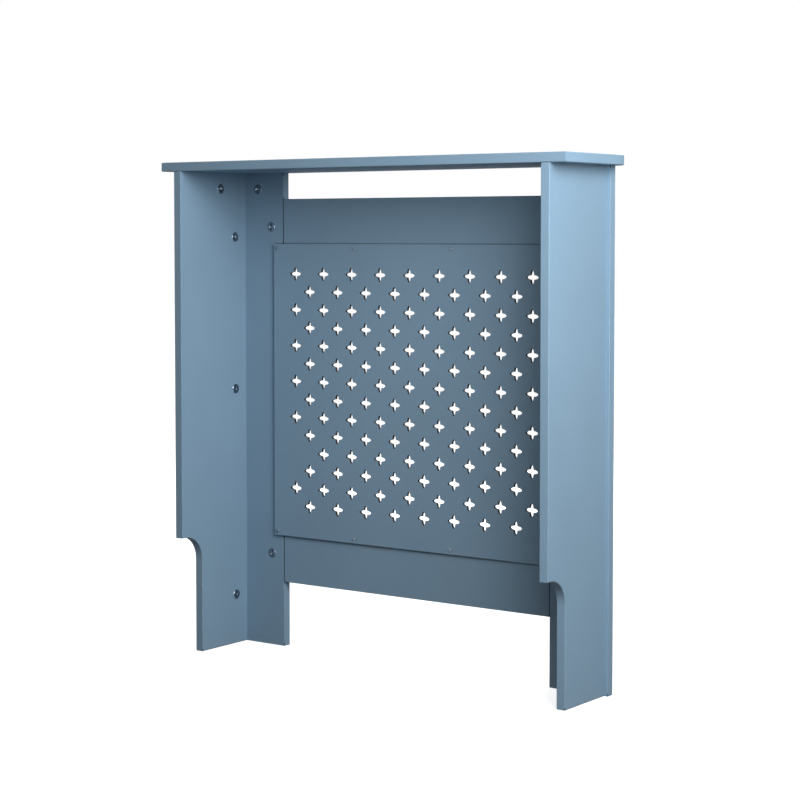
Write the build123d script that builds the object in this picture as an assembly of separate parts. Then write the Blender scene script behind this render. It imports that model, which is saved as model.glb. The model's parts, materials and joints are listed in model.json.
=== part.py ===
from build123d import *
import math
import os

# Radiator cover cabinet, in millimetres. The front faces -Y, the wall side faces +Y and
# +Z is up. The origin is on the floor, under the middle of the top board. Left and right
# are as seen from the front, so the left side is at -X.

# ---------------------------------------------------------------- the whole cabinet
overall_width = 780.0  # length of the top board
overall_height = 820.0  # floor to the top face
overall_depth = 190.0  # wall to the front edge of the top board
board_thickness = 15.0  # every board but the grille
top_side_overhang = 21.0  # top board past the frame, at each end
top_front_overhang = 11.0  # top board past the frame, at the front
top_corner_radius = 30.0  # front corners of the top board, in plan
top_edge_radius = 1.5  # rounding along the top board's faces
eased_edge_radius = 1.2  # rounding along the other boards' open edges

# ---------------------------------------------------------------- front frame
stile_width = 104.5
stile_lip = 6.0  # stile past the outer face of the side panel
rail_height = 94.0
heat_slot_height = 44.0  # open slot between the top rail and the top board
foot_gap_height = 110.0  # open gap between the floor and the bottom rail

# ---------------------------------------------------------------- skirting notch
notch_depth = 49.0  # cut into the rear foot of each side panel
notch_height = 197.0
notch_radius = 40.0  # rounding of its inner top corner

# ---------------------------------------------------------------- grille
grille_thickness = 5.0
grille_side_lap = 17.0  # grille over each stile
grille_top_lap = 18.5  # grille over the top rail
grille_bottom_lap = 13.5  # grille over the bottom rail
grille_edge_radius = 0.5  # rounding along its rear outline
petal_length = 22.6  # tip to tip of a four-petal hole
petal_width = 7.4  # widest across one pair of petals
hole_column_pitch = 58.6  # between holes in one row
hole_row_pitch = 30.1  # between rows, each shifted by half a column
hole_pattern_rise = 1.5  # middle of the pattern above the grille's
hole_side_margin = 45.0  # least distance from a hole's centre to the grille's sides
hole_end_margin = 50.0  # least distance from a hole's centre to its top and bottom
blank_row = 10  # this row, counted down from 0, lacks its outermost hole on the right

# ---------------------------------------------------------------- grille screws
screw_inset = 7.5  # screw centre to the grille's edges
left_inner_screw_x = -81.0
right_inner_screw_x = 111.5
screw_head_radius = 3.0
screw_head_height = 1.8
screw_head_rounding = 1.0  # around the top of the head
screw_length = 16.0  # under the head
screw_radius = 1.5
screw_core_radius = 1.1
screw_thread_pitch = 1.5
screw_point = 2.0  # length of the tapered end
screw_tip_radius = 0.2
screw_drive_span = 3.2  # cross slots in the head
screw_drive_width = 0.8
screw_drive_depth = 1.0
grille_hole_clearance = 0.4  # the holes in the grille around the screws, on the radius

# ---------------------------------------------------------------- cam locks
cam_bore_radius = 7.5
cam_bore_floor = 2.5  # wood left behind the bore
cam_bore_easing = 0.7  # cone around the bore's mouth
cam_running_clearance = 0.05  # between the cam and its bore
cam_face_recess = 0.2  # cam face below the board's face
cam_floor_clearance = 0.3
cam_rim_chamfer = 0.4
cam_set_back = 27.0  # cam centre to the edge that is pulled tight
cam_hollow_radius = 6.05  # space for the bolt's head
cam_eccentricity = 0.7  # the hollow is off the turning axis, so that turning draws the head in
cam_drive_span = 10.4  # cross recess for a screwdriver
cam_drive_width = 2.2
cam_drive_depth = 2.4
cam_drive_taper = 10.0  # degrees
cam_drive_mouth_radius = 2.6  # cone that opens the middle of the cross
cam_drive_tip_radius = 0.9
cam_arrow_tip = 7.0  # from the axis; the arrow points the way that the cam's mouth does
cam_arrow_length = 1.4
cam_arrow_width = 2.4
cam_arrow_depth = 0.4
side_top_cam_inset = 63.5  # from the front edge of the side panel
stile_top_cam_inset = 56.0  # from the inner edge of the stile
lower_cam_height = 84.0  # above the floor
upper_cam_drop = 108.0  # below the top board

# ---------------------------------------------------------------- cam bolts
bolt_head_radius = 3.2
bolt_head_thickness = 2.2
bolt_head_distance = 4.2  # cam axis to the underside of the head
bolt_neck_radius = 1.8
bolt_shank_radius = 3.5
bolt_collar_radius = 3.9
bolt_collar_length = 2.0
bolt_bore_radius = 4.0  # hole in the board's edge
bolt_thread_radius = 3.0
bolt_core_radius = 2.3
bolt_thread_pitch = 2.2
bolt_thread_length = 11.0
head_clearance = 0.3  # between the head or the neck and the cam
shank_end_clearance = 1.0  # between the shank and the cam

# ---------------------------------------------------------------- wooden dowels
dowel_radius = 4.0
dowel_length = 30.0
dowel_face_depth = 11.0  # how far a dowel enters the board that it meets face on
dowel_chamfer = 1.0
dowel_cam_spacing = 32.0  # dowel beside the cams along the long joints
rail_dowel_spacing = 24.0  # dowel beside the cams at the rail ends

# ---------------------------------------------------------------- fits
hole_clearance = 0.05  # round pieces in their holes, on the radius
blind_hole_spare = 0.5  # blind holes past the end of what they hold

# ---------------------------------------------------------------- worked-out places
wall_y = overall_depth / 2
top_front_y = -overall_depth / 2
frame_front_y = top_front_y + top_front_overhang
frame_back_y = frame_front_y + board_thickness
frame_middle_y = (frame_front_y + frame_back_y) / 2
top_underside_z = overall_height - board_thickness
frame_outer_x = overall_width / 2 - top_side_overhang
stile_inner_x = frame_outer_x - stile_width
side_outer_x = frame_outer_x - stile_lip
side_inner_x = side_outer_x - board_thickness
side_middle_x = (side_outer_x + side_inner_x) / 2
top_rail_top_z = top_underside_z - heat_slot_height
top_rail_bottom_z = top_rail_top_z - rail_height
top_rail_middle_z = (top_rail_top_z + top_rail_bottom_z) / 2
bottom_rail_bottom_z = foot_gap_height
bottom_rail_top_z = bottom_rail_bottom_z + rail_height
bottom_rail_middle_z = (bottom_rail_top_z + bottom_rail_bottom_z) / 2
grille_half_width = stile_inner_x + grille_side_lap
grille_top_z = top_rail_bottom_z + grille_top_lap
grille_bottom_z = bottom_rail_top_z - grille_bottom_lap
grille_middle_z = (grille_top_z + grille_bottom_z) / 2
grille_back_y = frame_back_y + grille_thickness
cam_bore_depth = board_thickness - cam_bore_floor
bolt_axis_depth = board_thickness / 2
side_top_cam_y = frame_back_y + side_top_cam_inset
side_cam_heights = {
    "upper": top_underside_z - upper_cam_drop,
    "middle": grille_middle_z,
    "lower": lower_cam_height,
}
left = -1
right = 1
sides = {"left": left, "right": right}
to_wall = (0, 1, 0)
to_front = (0, -1, 0)
upward = (0, 0, 1)


# ---------------------------------------------------------------- shared helpers
def block(x_range, y_range, z_range):
    """A rectangular board between two corners."""
    ranges = (x_range, y_range, z_range)
    middle = [(low + high) / 2 for low, high in ranges]
    return Pos(*middle) * Box(*[abs(high - low) for low, high in ranges])


def turned(outline):
    """A solid turned about local Z from (radius, height) points, which start and end on the axis."""
    points = [(radius, 0, height) for radius, height in outline]
    face = make_face(Polyline(*points, close=True))
    return revolve(face, Axis.Z, 360)


def rod(radius, bottom, top):
    """A cylinder on local Z between two heights."""
    return Pos(0, 0, (bottom + top) / 2) * Cylinder(radius, top - bottom)


def cross(span, width):
    """A flat cross of two bars on local XY."""
    return Rectangle(span, width) + Rectangle(width, span)


def thread_outline(core, crest, pitch, start, length):
    """Points of a thread's saw-tooth side, in whole turns that fit the length."""
    points = [(core, start)]
    for turn in range(int(length / pitch)):
        foot = start + turn * pitch
        points += [(crest, foot + pitch / 2), (core, foot + pitch)]
    return points


def along_x(shape):
    """Turns a shape from local Z to local X."""
    return Rot(0, 90, 0) * shape


# ---------------------------------------------------------------- boards
def make_top_board():
    board = block(
        (-overall_width / 2, overall_width / 2),
        (top_front_y, wall_y),
        (top_underside_z, overall_height),
    )
    front_corners = board.edges().filter_by(Axis.Z).group_by(Axis.Y)[0]
    board = fillet(front_corners, top_corner_radius)
    faces = board.faces().filter_by(Axis.Z)
    return fillet(faces.edges(), top_edge_radius)


def notch_outline():
    """The side panel's outline in the YZ plane, with the notch at its rear foot."""
    leg_y = wall_y - notch_depth
    round_y = leg_y + notch_radius
    round_z = notch_height - notch_radius
    reach = notch_radius * math.sqrt(0.5)
    outline = [
        Line((leg_y, 0), (frame_back_y, 0)),
        Line((frame_back_y, 0), (frame_back_y, top_underside_z)),
        Line((frame_back_y, top_underside_z), (wall_y, top_underside_z)),
        Line((wall_y, top_underside_z), (wall_y, notch_height)),
        Line((wall_y, notch_height), (round_y, notch_height)),
        ThreePointArc(
            (round_y, notch_height),
            (round_y - reach, round_z + reach),
            (leg_y, round_z),
        ),
        Line((leg_y, round_z), (leg_y, 0)),
    ]
    return make_face(outline)


def make_side_panel(side):
    face = Plane.YZ * notch_outline()
    panel = Pos(side_inner_x, 0, 0) * extrude(face, board_thickness, dir=(1, 0, 0))
    if side == left:
        panel = mirror(panel, Plane.YZ)
    open_edges = [
        edge
        for edge in panel.faces().filter_by(Axis.X).edges()
        if edge.center().Y > frame_back_y + eased_edge_radius
        and edge.center().Z < top_underside_z - eased_edge_radius
    ]
    return fillet(open_edges, eased_edge_radius)


def make_stile(side):
    stile = block(
        (side * stile_inner_x, side * frame_outer_x),
        (frame_front_y, frame_back_y),
        (0, top_underside_z),
    )
    return fillet(stile.edges().filter_by(Axis.Z), eased_edge_radius)


def make_rail(bottom, top):
    rail = block(
        (-stile_inner_x, stile_inner_x),
        (frame_front_y, frame_back_y),
        (bottom, top),
    )
    faces = rail.faces().filter_by(Axis.Y)
    return fillet(faces.edges(), eased_edge_radius)


# ---------------------------------------------------------------- grille
def hole_places():
    """Centres of the four-petal holes, as (x, z), in rows from the top down."""
    columns = 1 + int((2 * (grille_half_width - hole_side_margin)) / hole_column_pitch)
    rows = 1 + int((grille_top_z - grille_bottom_z - 2 * hole_end_margin) / hole_row_pitch)
    places = []
    for row in range(rows):
        in_row = columns - row % 2
        z = grille_middle_z + hole_pattern_rise + ((rows - 1) / 2 - row) * hole_row_pitch
        for column in range(in_row):
            x = (column - (in_row - 1) / 2) * hole_column_pitch
            last = column == in_row - 1
            if not (last and row == blank_row):
                places.append((x, z))
    return places


def screw_places():
    """Centres of the grille screws, as (x, z)."""
    outer = grille_half_width - screw_inset
    columns = (-outer, left_inner_screw_x, right_inner_screw_x, outer)
    rows = (grille_top_z - screw_inset, grille_bottom_z + screw_inset)
    return [(x, z) for z in rows for x in columns]


def screw_plane(x, z):
    """Where a grille screw enters: local Z points out of the grille, to the wall."""
    return Plane((x, grille_back_y, z), x_dir=(1, 0, 0), z_dir=to_wall)


def make_grille():
    panel = block(
        (-grille_half_width, grille_half_width),
        (frame_back_y, grille_back_y),
        (grille_bottom_z, grille_top_z),
    )
    rear = panel.faces().sort_by(Axis.Y)[-1]
    panel = fillet(rear.edges(), grille_edge_radius)
    petals = Ellipse(petal_length / 2, petal_width / 2) + Ellipse(petal_width / 2, petal_length / 2)
    back = Plane((0, grille_back_y, 0), x_dir=(1, 0, 0), z_dir=to_wall)
    holes = [back * Pos(x, -z, 0) * petals for x, z in hole_places()]
    screw_hole = Circle(screw_radius + grille_hole_clearance)
    holes += [back * Pos(x, -z, 0) * screw_hole for x, z in screw_places()]
    cutters = [extrude(hole, -grille_thickness) for hole in holes]
    return panel - cutters


def make_screw():
    """A pan-head screw on local Z, its head above the plane that it clamps."""
    thread = thread_outline(
        screw_core_radius,
        screw_radius,
        screw_thread_pitch,
        screw_point - screw_length,
        screw_length - grille_thickness - screw_point,
    )
    outline = [
        (0, -screw_length),
        (screw_tip_radius, -screw_length),
        *thread,
        (screw_radius, thread[-1][1]),
        (screw_radius, 0),
        (screw_head_radius, 0),
        (screw_head_radius, screw_head_height),
        (0, screw_head_height),
    ]
    screw = turned(outline)
    top_edge = screw.edges().filter_by(GeomType.CIRCLE).sort_by(Axis.Z)[-1]
    screw = fillet(top_edge, screw_head_rounding)
    drive = Pos(0, 0, screw_head_height) * cross(screw_drive_span, screw_drive_width)
    return screw - extrude(drive, -screw_drive_depth)


# ---------------------------------------------------------------- cam locks and bolts
def make_cam():
    """A cam lock. Its turning axis is local Z, the board's face is at 0 and the bolt lies along +X."""
    bottom = -cam_bore_depth + cam_floor_clearance
    drum = rod(cam_bore_radius - cam_running_clearance, bottom, -cam_face_recess)
    drum = chamfer(drum.edges().filter_by(GeomType.CIRCLE), cam_rim_chamfer)
    half_height = bolt_head_radius + head_clearance
    hollow = rod(cam_hollow_radius, -half_height, half_height)
    slot_half = bolt_neck_radius + head_clearance
    slot = block(
        (-cam_bore_radius, cam_bore_radius),
        (-cam_bore_radius, slot_half),
        (-slot_half, slot_half),
    )
    mouth = Rot(0, -90, 0) * rod(half_height, 0, cam_bore_radius)
    inside = Pos(-cam_eccentricity, 0, 0) * hollow + slot + mouth
    drive = extrude(cross(cam_drive_span, cam_drive_width), -cam_drive_depth, taper=cam_drive_taper)
    drive += turned(
        [
            (0, -cam_drive_depth),
            (cam_drive_tip_radius, -cam_drive_depth),
            (cam_drive_mouth_radius, 0),
            (0, 0),
        ]
    )
    arrow = make_face(
        Polyline(
            (-cam_arrow_tip, 0),
            (cam_arrow_length - cam_arrow_tip, cam_arrow_width / 2),
            (cam_arrow_length - cam_arrow_tip, -cam_arrow_width / 2),
            close=True,
        )
    )
    marks = Pos(0, 0, -cam_face_recess) * (drive + extrude(arrow, -cam_arrow_depth))
    return drum - Pos(0, 0, -bolt_axis_depth) * inside - marks


def make_bolt():
    """A cam bolt on local Z: its head is near 0, at the cam's axis, and its thread points up."""
    head_top = bolt_head_distance - bolt_head_thickness
    neck_end = cam_bore_radius + shank_end_clearance
    collar = cam_set_back - bolt_collar_length
    thread = thread_outline(
        bolt_core_radius, bolt_thread_radius, bolt_thread_pitch, cam_set_back, bolt_thread_length
    )
    outline = [
        (0, head_top),
        (bolt_head_radius, head_top),
        (bolt_head_radius, bolt_head_distance),
        (bolt_neck_radius, bolt_head_distance),
        (bolt_neck_radius, neck_end),
        (bolt_shank_radius, neck_end),
        (bolt_shank_radius, collar),
        (bolt_collar_radius, collar),
        (bolt_collar_radius, cam_set_back),
        *thread,
        (0, thread[-1][1]),
    ]
    return turned(outline)


def cam_holes():
    """What a cam lock takes out of its own board: the blind bore and the bolt's hole."""
    bore = turned(
        [
            (0, -cam_bore_depth),
            (cam_bore_radius, -cam_bore_depth),
            (cam_bore_radius, -cam_bore_easing),
            (cam_bore_radius + cam_bore_easing, 0),
            (0, 0),
        ]
    )
    bolt_hole = along_x(rod(bolt_bore_radius, 0, cam_set_back))
    return bore + Pos(0, 0, -bolt_axis_depth) * bolt_hole


def bolt_thread_hole():
    """What a bolt takes out of the board that it is screwed into."""
    end = cam_set_back + bolt_thread_length + blind_hole_spare
    hole = along_x(rod(bolt_thread_radius + hole_clearance, cam_set_back, end))
    return Pos(0, 0, -bolt_axis_depth) * hole


def cam_stations():
    """Each cam lock: name, plane, its own board, the board that it pulls in, and the bolts' node."""
    stations = []
    for hand, side in sides.items():
        panel = f"side_panel_{hand}"
        stile = f"front_stile_{hand}"
        to_middle = (-side, 0, 0)
        top_z = top_underside_z - cam_set_back
        face = (side * side_inner_x, side_top_cam_y, top_z)
        plane = Plane(face, x_dir=upward, z_dir=to_middle)
        stations.append((f"side_top_cam_{hand}", plane, panel, "top_board", "top_board_bolts"))
        for level, z in side_cam_heights.items():
            face = (side * side_inner_x, frame_back_y + cam_set_back, z)
            plane = Plane(face, x_dir=to_front, z_dir=to_middle)
            stations.append((f"side_{level}_cam_{hand}", plane, panel, stile, "stile_bolts"))
        face = (side * (stile_inner_x + stile_top_cam_inset), frame_back_y, top_z)
        plane = Plane(face, x_dir=upward, z_dir=to_wall)
        stations.append((f"stile_top_cam_{hand}", plane, stile, "top_board", "top_board_bolts"))
        rails = {"upper": ("top_rail", top_rail_middle_z), "lower": ("bottom_rail", bottom_rail_middle_z)}
        for level, (rail, z) in rails.items():
            face = (side * (stile_inner_x + cam_set_back), frame_back_y, z)
            plane = Plane(face, x_dir=to_middle, z_dir=to_wall)
            stations.append((f"stile_{level}_cam_{hand}", plane, stile, rail, f"{rail}_bolts"))
    return stations


# ---------------------------------------------------------------- dowels
def make_dowel():
    """A dowel across a joint at local Z 0. It enters the board that it meets face on at +Z."""
    dowel = rod(dowel_radius, dowel_face_depth - dowel_length, dowel_face_depth)
    return chamfer(dowel.edges().filter_by(GeomType.CIRCLE), dowel_chamfer)


def dowel_holes():
    """What a dowel takes out of the board below the joint, and out of the board above it."""
    radius = dowel_radius + hole_clearance
    below = rod(radius, dowel_face_depth - dowel_length - blind_hole_spare, 0)
    above = rod(radius, 0, dowel_face_depth + blind_hole_spare)
    return below, above


def dowel_stations():
    """Each dowel: plane, the board below, the board above and the dowels' node."""
    stations = []
    for hand, side in sides.items():
        panel = f"side_panel_{hand}"
        stile = f"front_stile_{hand}"
        to_outside = (side, 0, 0)
        for step in (-dowel_cam_spacing, dowel_cam_spacing):
            place = (side * side_middle_x, side_top_cam_y + step, top_underside_z)
            plane = Plane(place, x_dir=(1, 0, 0), z_dir=upward)
            stations.append((plane, panel, "top_board", "top_board_dowels"))
            across = stile_inner_x + stile_top_cam_inset + step
            plane = Plane((side * across, frame_middle_y, top_underside_z), x_dir=(1, 0, 0), z_dir=upward)
            stations.append((plane, stile, "top_board", "top_board_dowels"))
        for height in side_cam_heights.values():
            place = (side * side_middle_x, frame_back_y, height + dowel_cam_spacing)
            plane = Plane(place, x_dir=(1, 0, 0), z_dir=to_front)
            stations.append((plane, panel, stile, "stile_dowels"))
        for rail, height in (("top_rail", top_rail_middle_z), ("bottom_rail", bottom_rail_middle_z)):
            for step in (-rail_dowel_spacing, rail_dowel_spacing):
                place = (side * stile_inner_x, frame_middle_y, height + step)
                plane = Plane(place, x_dir=upward, z_dir=to_outside)
                stations.append((plane, rail, stile, f"{rail}_dowels"))
    return stations


# ---------------------------------------------------------------- assembly
def build():
    """All nodes, by name, each a list of separate solids."""
    boards = {
        "top_board": make_top_board(),
        "top_rail": make_rail(top_rail_bottom_z, top_rail_top_z),
        "bottom_rail": make_rail(bottom_rail_bottom_z, bottom_rail_top_z),
    }
    for hand, side in sides.items():
        boards[f"side_panel_{hand}"] = make_side_panel(side)
        boards[f"front_stile_{hand}"] = make_stile(side)
    cutters = {name: [] for name in boards}
    nodes = {"grille_panel": [make_grille()]}

    cam = make_cam()
    bolt = along_x(make_bolt())
    cam_cut = cam_holes()
    thread_cut = bolt_thread_hole()
    for name, plane, own_board, pulled_board, bolts in cam_stations():
        nodes[name] = [plane * cam]
        nodes.setdefault(bolts, []).append(plane * Pos(0, 0, -bolt_axis_depth) * bolt)
        cutters[own_board].append(plane * cam_cut)
        cutters[pulled_board].append(plane * thread_cut)

    dowel = make_dowel()
    below_cut, above_cut = dowel_holes()
    for plane, below, above, dowels in dowel_stations():
        nodes.setdefault(dowels, []).append(plane * dowel)
        cutters[below].append(plane * below_cut)
        cutters[above].append(plane * above_cut)

    screw = make_screw()
    pilot = rod(screw_radius + hole_clearance, -screw_length - blind_hole_spare, -grille_thickness)
    nodes["grille_screws"] = []
    for x, z in screw_places():
        plane = screw_plane(x, z)
        nodes["grille_screws"].append(plane * screw)
        board = "top_rail" if z > grille_middle_z else "bottom_rail"
        if abs(x) > stile_inner_x:
            board = "front_stile_right" if x > 0 else "front_stile_left"
        cutters[board].append(plane * pilot)

    for name, board in boards.items():
        nodes[name] = [board - cutters[name]]
    return nodes


def export(nodes):
    os.makedirs("parts", exist_ok=True)
    for name, shapes in nodes.items():
        solids = [solid for shape in shapes for solid in shape.solids()]
        whole = solids[0] if len(solids) == 1 else Compound(children=solids)
        whole.label = name
        export_step(whole, f"parts/{name}.step")


export(build())
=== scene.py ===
import json
import math

import bpy
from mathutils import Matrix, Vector


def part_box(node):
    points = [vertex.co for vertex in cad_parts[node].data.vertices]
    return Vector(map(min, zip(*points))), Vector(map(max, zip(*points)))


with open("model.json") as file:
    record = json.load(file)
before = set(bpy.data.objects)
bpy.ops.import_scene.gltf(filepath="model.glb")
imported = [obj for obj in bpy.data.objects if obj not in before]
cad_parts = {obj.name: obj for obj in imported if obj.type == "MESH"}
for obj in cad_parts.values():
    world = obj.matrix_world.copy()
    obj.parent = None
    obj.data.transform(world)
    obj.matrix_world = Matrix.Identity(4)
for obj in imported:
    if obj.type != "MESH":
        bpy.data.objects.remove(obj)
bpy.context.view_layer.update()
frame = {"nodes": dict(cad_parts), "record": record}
nodes = frame["nodes"]

# ---------------------------------------------------------------- colours, linear
paint = (0.225, 0.352, 0.472)
hole_wall_colour = (0.012, 0.017, 0.022)  # inner walls of the grille's holes
cam_zinc = (0.28, 0.33, 0.38)
bright_zinc = (0.62, 0.62, 0.60)
dull_zinc = (0.22, 0.29, 0.35)
beech = (0.62, 0.45, 0.27)
floor_grey = (0.55, 0.55, 0.55)
floor_bounce = (0.03, 0.03, 0.03)  # what light that bounces off the floor sees
white = (1.0, 1.0, 1.0)

# ---------------------------------------------------------------- paint
noise_middle = (0.3, 0.7)  # nearly all values of the noise lie between these
drift_scale = 7.0  # slow drifts of tone, in bumps per metre
drift_shades = (0.97, 1.03)
peel_scale = 210.0  # orange peel
peel_height = 0.00008
speck_scale = 650.0  # dust specks
speck_height = 0.00003
speck_share = 0.06
speck_shade = 0.6
roughness_range = (0.64, 0.72)
wall_mottle_scale = 1400.0  # fine mottling of the near-black walls in the grille's holes
wall_mottle_shades = (0.7, 1.3)
wall_normal = 0.05  # front-to-back part of the normal, on a hole's wall
face_normal = 0.25  # the same, from which the grille is painted

# ---------------------------------------------------------------- painted shade where pieces meet, and a painted shadow line over the grille
joint_reach = 0.006  # how near another piece has to be, in metres
joint_samples = 16
edge_shut = 0.72  # openness at which an eased edge is painted fully dark, as painted shade
frame_edge_shut = 0.93  # the same for the stiles' and rails' edges behind the grille
square_on = 0.995  # greatest part of the normal, on a face square to an axis
tilted_off = 0.97  # the same, on an edge that is clearly tilted
# share of the paint's colour left in the painted shade
painted_shade_level = 0.03
stile_reach = 0.002  # past the grille's ends
shadow_line_height = 0.0025  # height of the painted shadow line along the grille's upper edge
# darkness of the painted shadow line at the grille's edge
shadow_line_strength = 0.75
shadow_line_overlap = 0.0001

# ---------------------------------------------------------------- metal and wood
patch_size = 8.0  # patches of uneven plating, against the grain
plating_shades = (0.88, 1.12)
polish_spread = 0.06  # of the roughness, either way
fleck_scale = 900.0
fleck_shades = (0.8, 1.1)
wood_roughness = (0.6, 0.75)

# ---------------------------------------------------------------- floor
floor_radius = 12.0
glow_start = 0.8  # distance from the origin where the floor's glow starts to rise
glow_end = 3.0


# ---------------------------------------------------------------- node helpers
def new_material(name):
    """A material with its node tree, and its Principled shader."""
    material = bpy.data.materials.new(name)
    material.use_nodes = True
    return material, material.node_tree, material.node_tree.nodes["Principled BSDF"]


def add(tree, kind, settings=None, links=None):
    """A new node, with values for its inputs or properties, and links from other sockets."""
    node = tree.nodes.new(kind)
    for key, value in (settings or {}).items():
        if isinstance(key, int) or key in node.inputs:
            node.inputs[key].default_value = value
        else:
            setattr(node, key, value)
    for key, socket in (links or {}).items():
        tree.links.new(socket, node.inputs[key])
    return node


def maths(tree, operation, first, second=None):
    """The result of an operation on one or two operands, each a number or a socket."""
    node = add(tree, "ShaderNodeMath", {"operation": operation})
    for index, operand in enumerate((first, second)):
        if isinstance(operand, float):
            node.inputs[index].default_value = operand
        elif operand is not None:
            tree.links.new(operand, node.inputs[index])
    return node.outputs[0]


def ramp(tree, socket, start, end, low, high, interpolation="LINEAR"):
    """Takes values from `start` to `end`, which may be sockets, to those from `low` to `high`."""
    settings = {"To Min": low, "To Max": high, "interpolation_type": interpolation}
    links = {"Value": socket}
    for name, value in (("From Min", start), ("From Max", end)):
        (settings if isinstance(value, float) else links)[name] = value
    return add(tree, "ShaderNodeMapRange", settings, links).outputs["Result"]


def object_place(tree):
    return add(tree, "ShaderNodeTexCoord").outputs["Object"]


def split(tree, vector):
    """The X, Y and Z sockets of a vector."""
    return add(tree, "ShaderNodeSeparateXYZ", links={"Vector": vector}).outputs


def noise(tree, place, scale, detail=2.0):
    """Smooth noise from 0 to 1, with `scale` bumps in a metre."""
    settings = {"Scale": scale, "Detail": detail}
    return add(tree, "ShaderNodeTexNoise", settings, {"Vector": place}).outputs["Fac"]


def spread(tree, socket, low, high):
    """Noise, which keeps to the middle, spread out to a range of values."""
    return ramp(tree, socket, *noise_middle, low, high)


def shaded(colour, factor=1.0):
    return tuple(channel * factor for channel in colour) + (1.0,)


def blend_colours(tree, factor, first, second):
    """Mixes two colours, each a constant or a socket."""
    mix = tree.nodes.new("ShaderNodeMix")
    mix.data_type = "RGBA"
    tree.links.new(factor, mix.inputs["Factor"])
    for name, colour in (("A", first), ("B", second)):
        socket = next(i for i in mix.inputs if i.name == name and i.type == "RGBA")
        if isinstance(colour, tuple):
            socket.default_value = colour
        else:
            tree.links.new(colour, socket)
    return next(o for o in mix.outputs if o.type == "RGBA")


def bumps(tree, layers):
    """A normal from several height sockets, each with a height in metres."""
    normal = None
    for height, distance in layers:
        links = {"Height": height}
        if normal is not None:
            links["Normal"] = normal
        normal = add(tree, "ShaderNodeBump", {"Distance": distance}, links).outputs["Normal"]
    return normal


# ---------------------------------------------------------------- materials
def behind_grille(tree, place):
    """1 on the frame's parts between the grille's two ends, and 0 beyond them."""
    low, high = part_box("grille_panel")
    middle, reach = (low[0] + high[0]) / 2, (high[0] - low[0]) / 2 + stile_reach
    away = maths(tree, "ABSOLUTE", maths(tree, "SUBTRACT", split(tree, place)["X"], middle))
    return maths(tree, "LESS_THAN", away, reach)


def tilted_faces(tree):
    """1 on eased edges, and 0 on faces that are square to an axis."""
    parts = split(tree, add(tree, "ShaderNodeTexCoord").outputs["Normal"])
    across, along, up = (maths(tree, "ABSOLUTE", parts[axis]) for axis in "XYZ")
    facing = maths(tree, "MAXIMUM", maths(tree, "MAXIMUM", across, along), up)
    return ramp(tree, facing, tilted_off, square_on, 1.0, 0.0)


def painted_crease_shade(tree):
    """Painted shade, 1 on edges where two pieces meet and on the frame just over the grille, and 0
    elsewhere.
    """
    place = object_place(tree)
    inside = behind_grille(tree, place)
    settings = {"Distance": joint_reach, "samples": joint_samples}
    # ambient occlusion finds the creases between pieces, to paint shade into them
    openness = add(tree, "ShaderNodeAmbientOcclusion", settings).outputs["AO"]
    shut = ramp(tree, inside, 0.0, 1.0, edge_shut, frame_edge_shut)
    close = ramp(tree, openness, shut, 1.0, 1.0, 0.0)
    edges = maths(tree, "MULTIPLY", close, tilted_faces(tree))
    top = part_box("grille_panel")[1][2]
    height = split(tree, place)["Z"]
    # a painted shadow line on the frame, fading upwards from the grille's upper edge
    shadow_line = ramp(tree, height, top, top + shadow_line_height, shadow_line_strength, 0.0)
    above = maths(tree, "GREATER_THAN", height, top - shadow_line_overlap)
    for factor in (above, inside, close):
        shadow_line = maths(tree, "MULTIPLY", shadow_line, factor)
    return maths(tree, "MAXIMUM", edges, shadow_line)


def paint_nodes(tree, shader):
    """Sprayed satin paint: slow drifts of tone, fine orange peel, a few dust specks, and painted
    shade where pieces meet.
    """
    place = object_place(tree)
    drift = spread(tree, noise(tree, place, drift_scale, detail=3.0), 0.0, 1.0)
    dust = noise(tree, place, speck_scale)
    peel = noise(tree, place, peel_scale, detail=1.0)
    colour = blend_colours(tree, drift, *(shaded(paint, shade) for shade in drift_shades))
    specks = spread(tree, dust, 0.0, speck_share)
    colour = blend_colours(tree, specks, colour, shaded(paint, speck_shade))
    # painted shade: the paint darkened and dulled in the creases between pieces and along the
    # grille's upper edge
    painted_shade_mask = painted_crease_shade(tree)
    colour = blend_colours(tree, painted_shade_mask, colour, shaded(paint, painted_shade_level))
    dulled = maths(tree, "MAXIMUM", spread(tree, peel, *roughness_range), painted_shade_mask)
    layers = ((peel, peel_height), (dust, speck_height))
    tree.links.new(bumps(tree, layers), shader.inputs["Normal"])
    return colour, dulled


def board_paint():
    material, tree, shader = new_material("board_paint")
    colour, roughness = paint_nodes(tree, shader)
    tree.links.new(colour, shader.inputs["Base Color"])
    tree.links.new(roughness, shader.inputs["Roughness"])
    return material


def grille_paint():
    """The same paint on fibreboard, whose hole walls are dark."""
    material, tree, shader = new_material("grille_paint")
    colour, roughness = paint_nodes(tree, shader)
    facing = split(tree, add(tree, "ShaderNodeTexCoord").outputs["Normal"])["Y"]
    painted = ramp(tree, maths(tree, "ABSOLUTE", facing), wall_normal, face_normal, 0.0, 1.0)
    # the hole walls are drawn near-black with a fine mottle, and dull
    wall_mottle = noise(tree, object_place(tree), wall_mottle_scale)
    wall = blend_colours(tree, wall_mottle, *(shaded(hole_wall_colour, shade) for shade in wall_mottle_shades))
    tree.links.new(blend_colours(tree, painted, wall, colour), shader.inputs["Base Color"])
    dulled = maths(tree, "MAXIMUM", roughness, maths(tree, "SUBTRACT", 1.0, painted))
    tree.links.new(dulled, shader.inputs["Roughness"])
    return material


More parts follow.
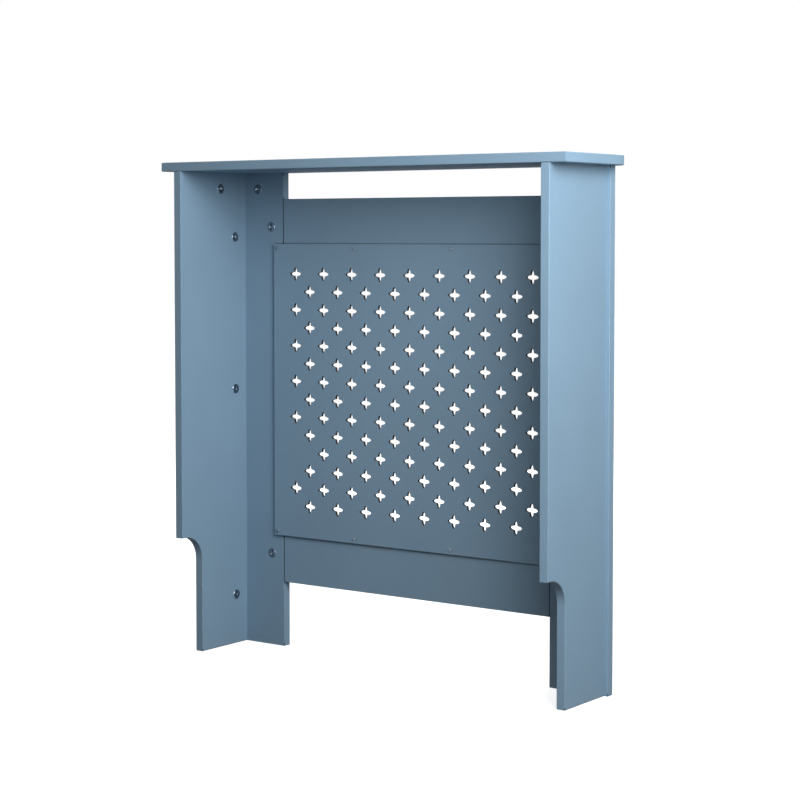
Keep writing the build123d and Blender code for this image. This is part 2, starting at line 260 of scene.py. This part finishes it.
def metal(name, colour, roughness, grain_scale, grain_height):
    """Plated or cast metal with a fine grain and slightly uneven plating."""
    material, tree, shader = new_material(name)
    place = object_place(tree)
    grain = noise(tree, place, grain_scale, detail=3.0)
    patches = spread(tree, noise(tree, place, grain_scale / patch_size), 0.0, 1.0)
    mixed = blend_colours(tree, patches, *(shaded(colour, shade) for shade in plating_shades))
    uneven = spread(tree, grain, roughness - polish_spread, roughness + polish_spread)
    tree.links.new(mixed, shader.inputs["Base Color"])
    tree.links.new(uneven, shader.inputs["Roughness"])
    tree.links.new(bumps(tree, ((grain, grain_height),)), shader.inputs["Normal"])
    shader.inputs["Metallic"].default_value = 1.0
    return material


def dowel_wood():
    """Beech with fine flecks."""
    material, tree, shader = new_material("dowel_wood")
    fleck = spread(tree, noise(tree, object_place(tree), fleck_scale, detail=4.0), 0.0, 1.0)
    colour = blend_colours(tree, fleck, *(shaded(beech, shade) for shade in fleck_shades))
    tree.links.new(colour, shader.inputs["Base Color"])
    tree.links.new(spread(tree, fleck, *wood_roughness), shader.inputs["Roughness"])
    return material


slot_materials = {
    "painted_board": board_paint(),
    "painted_grille": grille_paint(),
    "cam_metal": metal(
        "cast_zinc", cam_zinc, roughness=0.22, grain_scale=1600.0, grain_height=0.000005
    ),
    "bolt_steel": metal(
        "bright_zinc_plating", bright_zinc, roughness=0.3, grain_scale=2200.0, grain_height=0.00001
    ),
    "screw_steel": metal(
        "dull_zinc_plating", dull_zinc, roughness=0.5, grain_scale=2200.0, grain_height=0.00001
    ),
    "bare_wood": dowel_wood(),
}
for part in frame["record"]["subparts"]:
    node = nodes[part["node"]]
    node.data.materials.clear()
    node.data.materials.append(slot_materials[part["material_slot"]])


# ---------------------------------------------------------------- floor and backdrop
def seen_directly(tree):
    """1 for what the camera, a mirror or glass looks at, and 0 for light that falls on things."""
    paths = add(tree, "ShaderNodeLightPath").outputs
    total = paths["Is Camera Ray"]
    for kind in ("Is Glossy Ray", "Is Transmission Ray"):
        total = maths(tree, "MAXIMUM", total, paths[kind])
    return total


def make_world(ambient):
    """White to the eye, and a low even light on the object."""
    world = bpy.data.worlds.new("studio")
    world.use_nodes = True
    bpy.context.scene.world = world
    tree = world.node_tree
    background = tree.nodes["Background"]
    background.inputs["Color"].default_value = shaded(white)
    strength = ramp(tree, seen_directly(tree), 0.0, 1.0, ambient, 1.0)
    tree.links.new(strength, background.inputs["Strength"])


def make_floor(glow_near, glow_far):
    """A pale floor that shows the object's shadow against the white backdrop."""
    mesh = bpy.data.meshes.new("floor")
    ends = ((-1, -1), (1, -1), (1, 1), (-1, 1))
    corners = [(x * floor_radius, y * floor_radius, 0.0) for x, y in ends]
    mesh.from_pydata(corners, [], [(0, 1, 2, 3)])
    floor = bpy.data.objects.new("floor", mesh)
    bpy.context.scene.collection.objects.link(floor)
    material, tree, shader = new_material("pale_floor")
    looked_at = add(tree, "ShaderNodeLightPath").outputs["Is Camera Ray"]
    colour = blend_colours(tree, looked_at, shaded(floor_bounce), shaded(floor_grey))
    tree.links.new(colour, shader.inputs["Base Color"])
    shader.inputs["Roughness"].default_value = 0.9
    shader.inputs["Specular IOR Level"].default_value = 0.0
    links = {0: object_place(tree)}
    distance = add(tree, "ShaderNodeVectorMath", {"operation": "LENGTH"}, links).outputs["Value"]
    glow = ramp(tree, distance, glow_start, glow_end, glow_near, glow_far, "SMOOTHSTEP")
    light = add(tree, "ShaderNodeEmission", {"Color": shaded(white)})
    strength = maths(tree, "MULTIPLY", seen_directly(tree), glow)
    tree.links.new(strength, light.inputs["Strength"])
    both = add(tree, "ShaderNodeAddShader", links={0: shader.outputs[0], 1: light.outputs[0]})
    tree.links.new(both.outputs[0], tree.nodes["Material Output"].inputs["Surface"])
    mesh.materials.append(material)


# ---------------------------------------------------------------- lamps and camera
def soft_lamp(name, place, target, size, watts):
    """A square studio light that isn't itself in the picture."""
    data = bpy.data.lights.new(name, "AREA")
    data.shape = "SQUARE"
    data.size = size
    data.energy = watts
    lamp = bpy.data.objects.new(name, data)
    bpy.context.scene.collection.objects.link(lamp)
    lamp.location = place
    direction = Vector(target) - Vector(place)
    lamp.rotation_euler = direction.to_track_quat("-Z", "Y").to_euler()
    lamp.visible_camera = False


def make_camera():
    """The photograph's view: behind the cabinet and to its left, seven tenths of a metre up."""
    image_side = 800.0
    focal_pixels = 1985.3
    eye_row = 335.0  # image row that is level with the lens's axis
    tip, turn = 87.078, 215.993  # degrees
    data = bpy.data.cameras.new("camera")
    data.sensor_width = 36.0
    data.lens = focal_pixels * data.sensor_width / image_side
    data.shift_y = (eye_row - image_side / 2) / image_side
    data.clip_end = 100.0
    camera = bpy.data.objects.new("camera", data)
    camera.location = (-1.8674, 2.5309, 0.7026)
    camera.rotation_euler = (math.radians(tip), 0.0, math.radians(turn))
    bpy.context.scene.collection.objects.link(camera)
    bpy.context.scene.camera = camera


middle = (0.0, 0.0, 0.5)
make_world(ambient=0.14)
make_floor(glow_near=0.78, glow_far=1.0)
soft_lamp("key", (-1.15, 0.8, 1.08), target=(-0.1, 0.03, 0.82), size=0.8, watts=13.0)
soft_lamp("side", (-1.3, 0.6, 1.28), target=(-0.1, 0.03, 0.75), size=0.9, watts=14.5)
soft_lamp("rear", (-1.0, 1.3, 1.0), target=(0.0, 0.0, 0.6), size=0.8, watts=3.0)
soft_lamp("front", (0.3, -2.4, 2.0), target=middle, size=1.6, watts=52.0)
soft_lamp("right", (2.4, -1.0, 1.6), target=middle, size=1.5, watts=28.0)
make_camera()
bpy.context.scene.view_settings.view_transform = "Standard"
